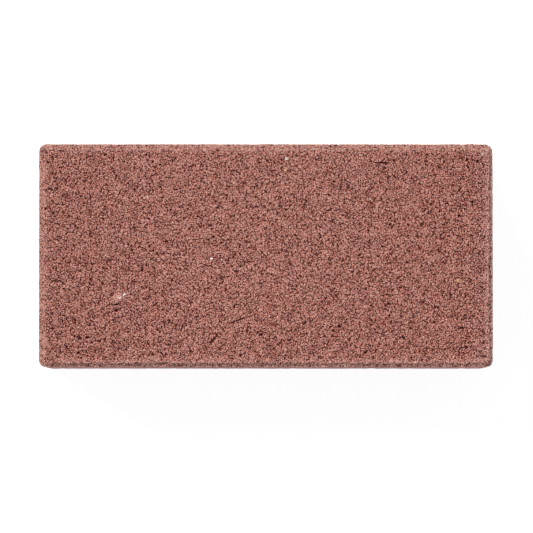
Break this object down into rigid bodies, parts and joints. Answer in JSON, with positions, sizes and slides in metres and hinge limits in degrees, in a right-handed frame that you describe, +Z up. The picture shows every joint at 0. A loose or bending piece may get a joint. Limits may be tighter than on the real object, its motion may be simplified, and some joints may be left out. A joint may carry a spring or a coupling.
{
  "type": "concrete paving stone",
  "caption": "Rectangular pressed concrete block paver in one piece, with rounded upright corners and a soft bevelled rim round its rough wear face.",
  "frame": {"origin": "middle of the bed face, the flat underside that lies on the ground", "axes": "+X along the length, +Y across the width, +Z up out of the wear face"},
  "size_m": [0.2, 0.0984, 0.06],
  "materials": {
    "red_concrete": "matt through-coloured red concrete with an open sandy grain"
  },
  "bodies": {
    "root": {"paving_stone": "red_concrete"}
  },
  "joints": []
}
